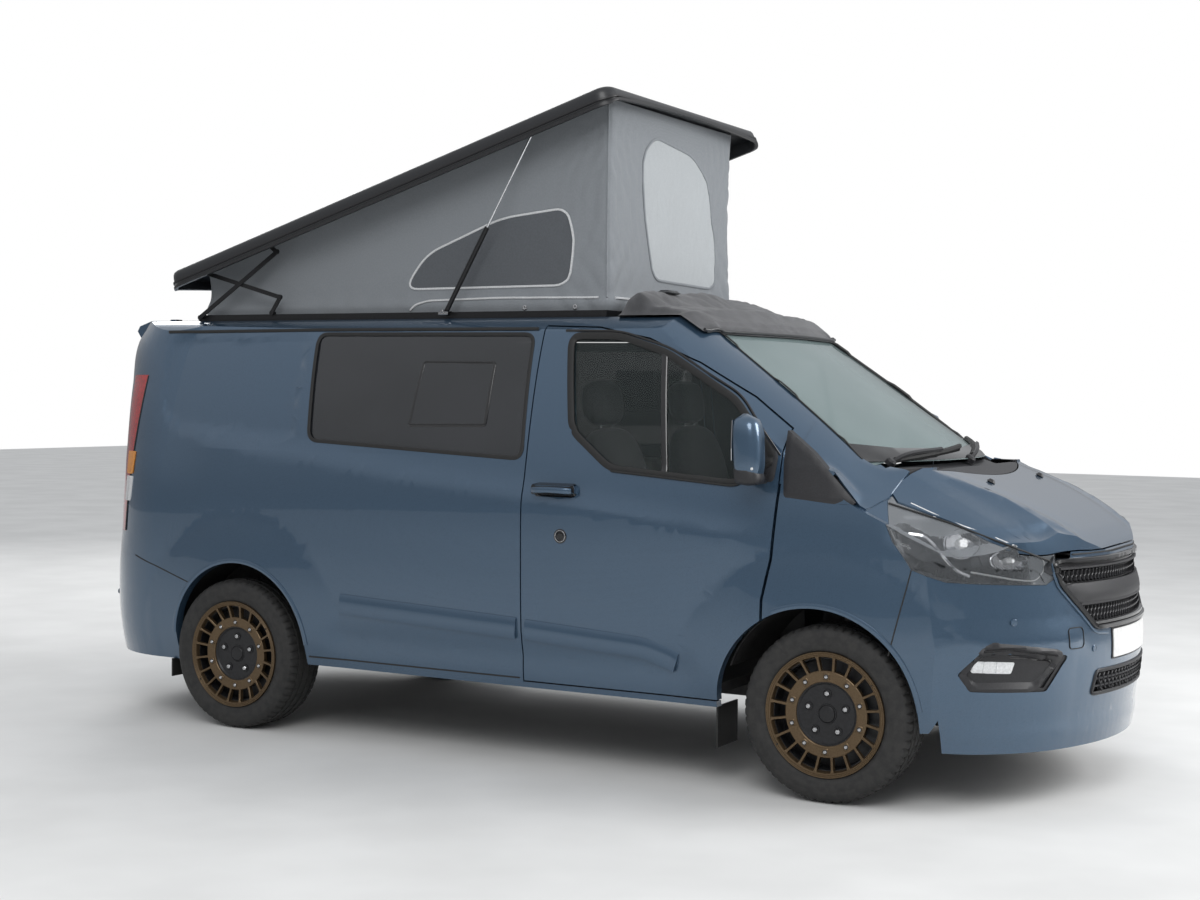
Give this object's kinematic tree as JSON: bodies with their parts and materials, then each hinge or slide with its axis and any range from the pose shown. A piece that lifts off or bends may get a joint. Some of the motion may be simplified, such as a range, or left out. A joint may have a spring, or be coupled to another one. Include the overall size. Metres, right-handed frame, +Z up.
{
  "type": "camper van",
  "caption": "Camper van with a raised pop-top roof tent, opening front doors, bonnet and tailgate, and steering front wheels.",
  "frame": {"origin": "on the ground, under the middle of the body and of the raised roof, at the centre of the bounding box", "axes": "+X forwards, +Y to the vehicle's left, +Z up"},
  "size_m": [4.973, 2.272, 2.907],
  "materials": {
    "paint": "metallic gloss",
    "dark_glass": "tinted",
    "clear_glass": "clear",
    "black_trim": "matte",
    "lamp_clear": "gloss",
    "lamp_red": "gloss",
    "chassis": "satin",
    "engine": "cast",
    "steel": "satin",
    "rubber": "matte",
    "seat_fabric": "woven",
    "cabinet": "satin",
    "lid_skin": "satin",
    "black_metal": "satin",
    "bright_rod": "polished",
    "tent_fabric": "woven",
    "cover_fabric": "woven",
    "bronze": "satin",
    "tyre": "matte"
  },
  "bodies": {
    "body": {"body_side_right": "paint", "body_side_left": "paint", "sliding_door": "paint", "side_glass": "dark_glass", "roof_panel": "paint", "windscreen": "clear_glass", "cowl_panel": "black_trim", "wings": "paint", "front_bumper": "paint", "grille": "black_trim", "fog_lamps": "black_trim", "headlamps": "lamp_clear", "rear_bumper": "paint", "tail_lamps": "lamp_red", "floor_pan": "chassis", "bulkhead": "chassis", "front_structure": "chassis", "engine": "engine", "front_subframe": "steel", "rear_axle": "steel", "exhaust": "steel", "fuel_tank": "black_trim", "mudflaps": "rubber", "dashboard": "black_trim", "front_seats": "seat_fabric", "living_unit": "cabinet", "rear_bench": "seat_fabric", "roof_frame": "black_metal", "roof_pivots": "black_metal", "roof_tent": "tent_fabric", "roof_cover": "cover_fabric"},
    "steering": {"steering_wheel": "black_trim"},
    "hub_right": {"knuckle_right": "steel"},
    "hub_left": {"knuckle_left": "steel"},
    "front_right_wheel": {"rim_front_right": "bronze", "tyre_front_right": "tyre"},
    "front_left_wheel": {"rim_front_left": "bronze", "tyre_front_left": "tyre"},
    "rear_right_wheel": {"rim_rear_right": "bronze", "tyre_rear_right": "tyre"},
    "rear_left_wheel": {"rim_rear_left": "bronze", "tyre_rear_left": "tyre"},
    "right_door": {"door_right": "paint", "door_glass_right": "dark_glass", "mirror_right": "paint"},
    "left_door": {"door_left": "paint", "door_glass_left": "dark_glass", "mirror_left": "paint"},
    "bonnet_lid": {"bonnet": "paint"},
    "tail_door": {"tailgate": "paint", "tailgate_glass": "dark_glass"},
    "arms": {"roof_arms": "black_metal"},
    "links": {"lid_links": "black_metal"},
    "lid": {"roof_lid": "lid_skin"},
    "crossed_arms": {"cross_arms": "black_metal"},
    "levers": {"base_links": "black_metal"},
    "cylinders": {"strut_cylinders": "black_metal"},
    "rods": {"strut_rods": "bright_rod"}
  },
  "joints": [
    {"name": "steer_right", "type": "hinge", "parent": "body", "child": "hub_right", "pos_m": [1.5265, -0.7, 0.3465], "axis": [0, 0, 1], "range_deg": [-33, 33]},
    {"name": "front_right_spin", "type": "hinge", "parent": "hub_right", "child": "front_right_wheel", "pos_m": [1.5265, -0.849, 0.3465], "axis": [0, 1, 0], "continuous": true},
    {"name": "rear_right_spin", "type": "hinge", "parent": "body", "child": "rear_right_wheel", "pos_m": [-1.4065, -0.849, 0.3465], "axis": [0, 1, 0], "continuous": true},
    {"name": "steer_left", "type": "hinge", "parent": "body", "child": "hub_left", "pos_m": [1.5265, 0.7, 0.3465], "axis": [0, 0, 1], "range_deg": [-33, 33]},
    {"name": "front_left_spin", "type": "hinge", "parent": "hub_left", "child": "front_left_wheel", "pos_m": [1.5265, 0.849, 0.3465], "axis": [0, 1, 0], "continuous": true},
    {"name": "rear_left_spin", "type": "hinge", "parent": "body", "child": "rear_left_wheel", "pos_m": [-1.4065, 0.849, 0.3465], "axis": [0, 1, 0], "continuous": true},
    {"name": "door_right_swing", "type": "hinge", "parent": "body", "child": "right_door", "pos_m": [1.285, -0.98, 0.9], "axis": [0, 0, 1], "range_deg": [0, 60]},
    {"name": "door_left_swing", "type": "hinge", "parent": "body", "child": "left_door", "pos_m": [1.285, 0.98, 0.9], "axis": [0, 0, 1], "range_deg": [-60, 0]},
    {"name": "bonnet_lift", "type": "hinge", "parent": "body", "child": "bonnet_lid", "pos_m": [1.695, 0, 1.3], "axis": [0, -1, 0], "range_deg": [0, 50]},
    {"name": "tailgate_lift", "type": "hinge", "parent": "body", "child": "tail_door", "pos_m": [-2.262, 0, 1.918], "axis": [0, 1, 0], "range_deg": [0, 85]},
    {"name": "steering_wheel_turn", "type": "hinge", "parent": "body", "child": "steering", "pos_m": [0.905, -0.42, 1.045], "axis": [-0.8192, 0, 0.5736], "range_deg": [-528, 528]},
    {"name": "roof_lift", "type": "hinge", "parent": "body", "child": "arms", "pos_m": [-1.8395, 0, 1.92], "axis": [0, 1, 0], "range_deg": [0, 33], "deforming": ["roof_tent", "roof_cover"]},
    {"name": "lid_link_turn", "type": "hinge", "parent": "arms", "child": "links", "pos_m": [-1.36758, 0, 2.22647], "axis": [0, 1, 0], "range_deg": [-51.49, 0]},
    {"name": "lid_turn", "type": "hinge", "parent": "links", "child": "lid", "pos_m": [-1.41057, 0, 2.26141], "axis": [0, 1, 0], "range_deg": [0, 35.66]},
    {"name": "cross_arm_turn", "type": "hinge", "parent": "arms", "child": "crossed_arms", "pos_m": [-1.59629, 0, 2.07795], "axis": [0, 1, 0], "range_deg": [-48.35, 0]},
    {"name": "base_link_turn", "type": "hinge", "parent": "body", "child": "levers", "pos_m": [-1.4115, 0, 1.939], "axis": [0, 1, 0], "range_deg": [0, 63.31]},
    {"name": "strut_turn", "type": "hinge", "parent": "body", "child": "cylinders", "pos_m": [-0.4135, 0, 1.93], "axis": [0, 1, 0], "range_deg": [0, 59.94]},
    {"name": "strut_slide", "type": "slide", "parent": "cylinders", "child": "rods", "axis": [0.4977, 0, 0.8673], "range_m": [-0.2985, 0]}
  ],
  "couplings": [
    {"joint": "steer_left", "follows": "steer_right", "ratio": 1},
    {"joint": "steering_wheel_turn", "follows": "steer_right", "ratio": 16},
    {"joint": "lid_link_turn", "follows": "roof_lift", "ratio": -1.5588},
    {"joint": "lid_turn", "follows": "roof_lift", "ratio": 1.0791},
    {"joint": "cross_arm_turn", "follows": "roof_lift", "ratio": -1.4636},
    {"joint": "base_link_turn", "follows": "roof_lift", "ratio": 1.9168},
    {"joint": "strut_turn", "follows": "roof_lift", "ratio": 1.815},
    {"joint": "strut_slide", "follows": "roof_lift", "m_per_rad": -0.51768}
  ]
}
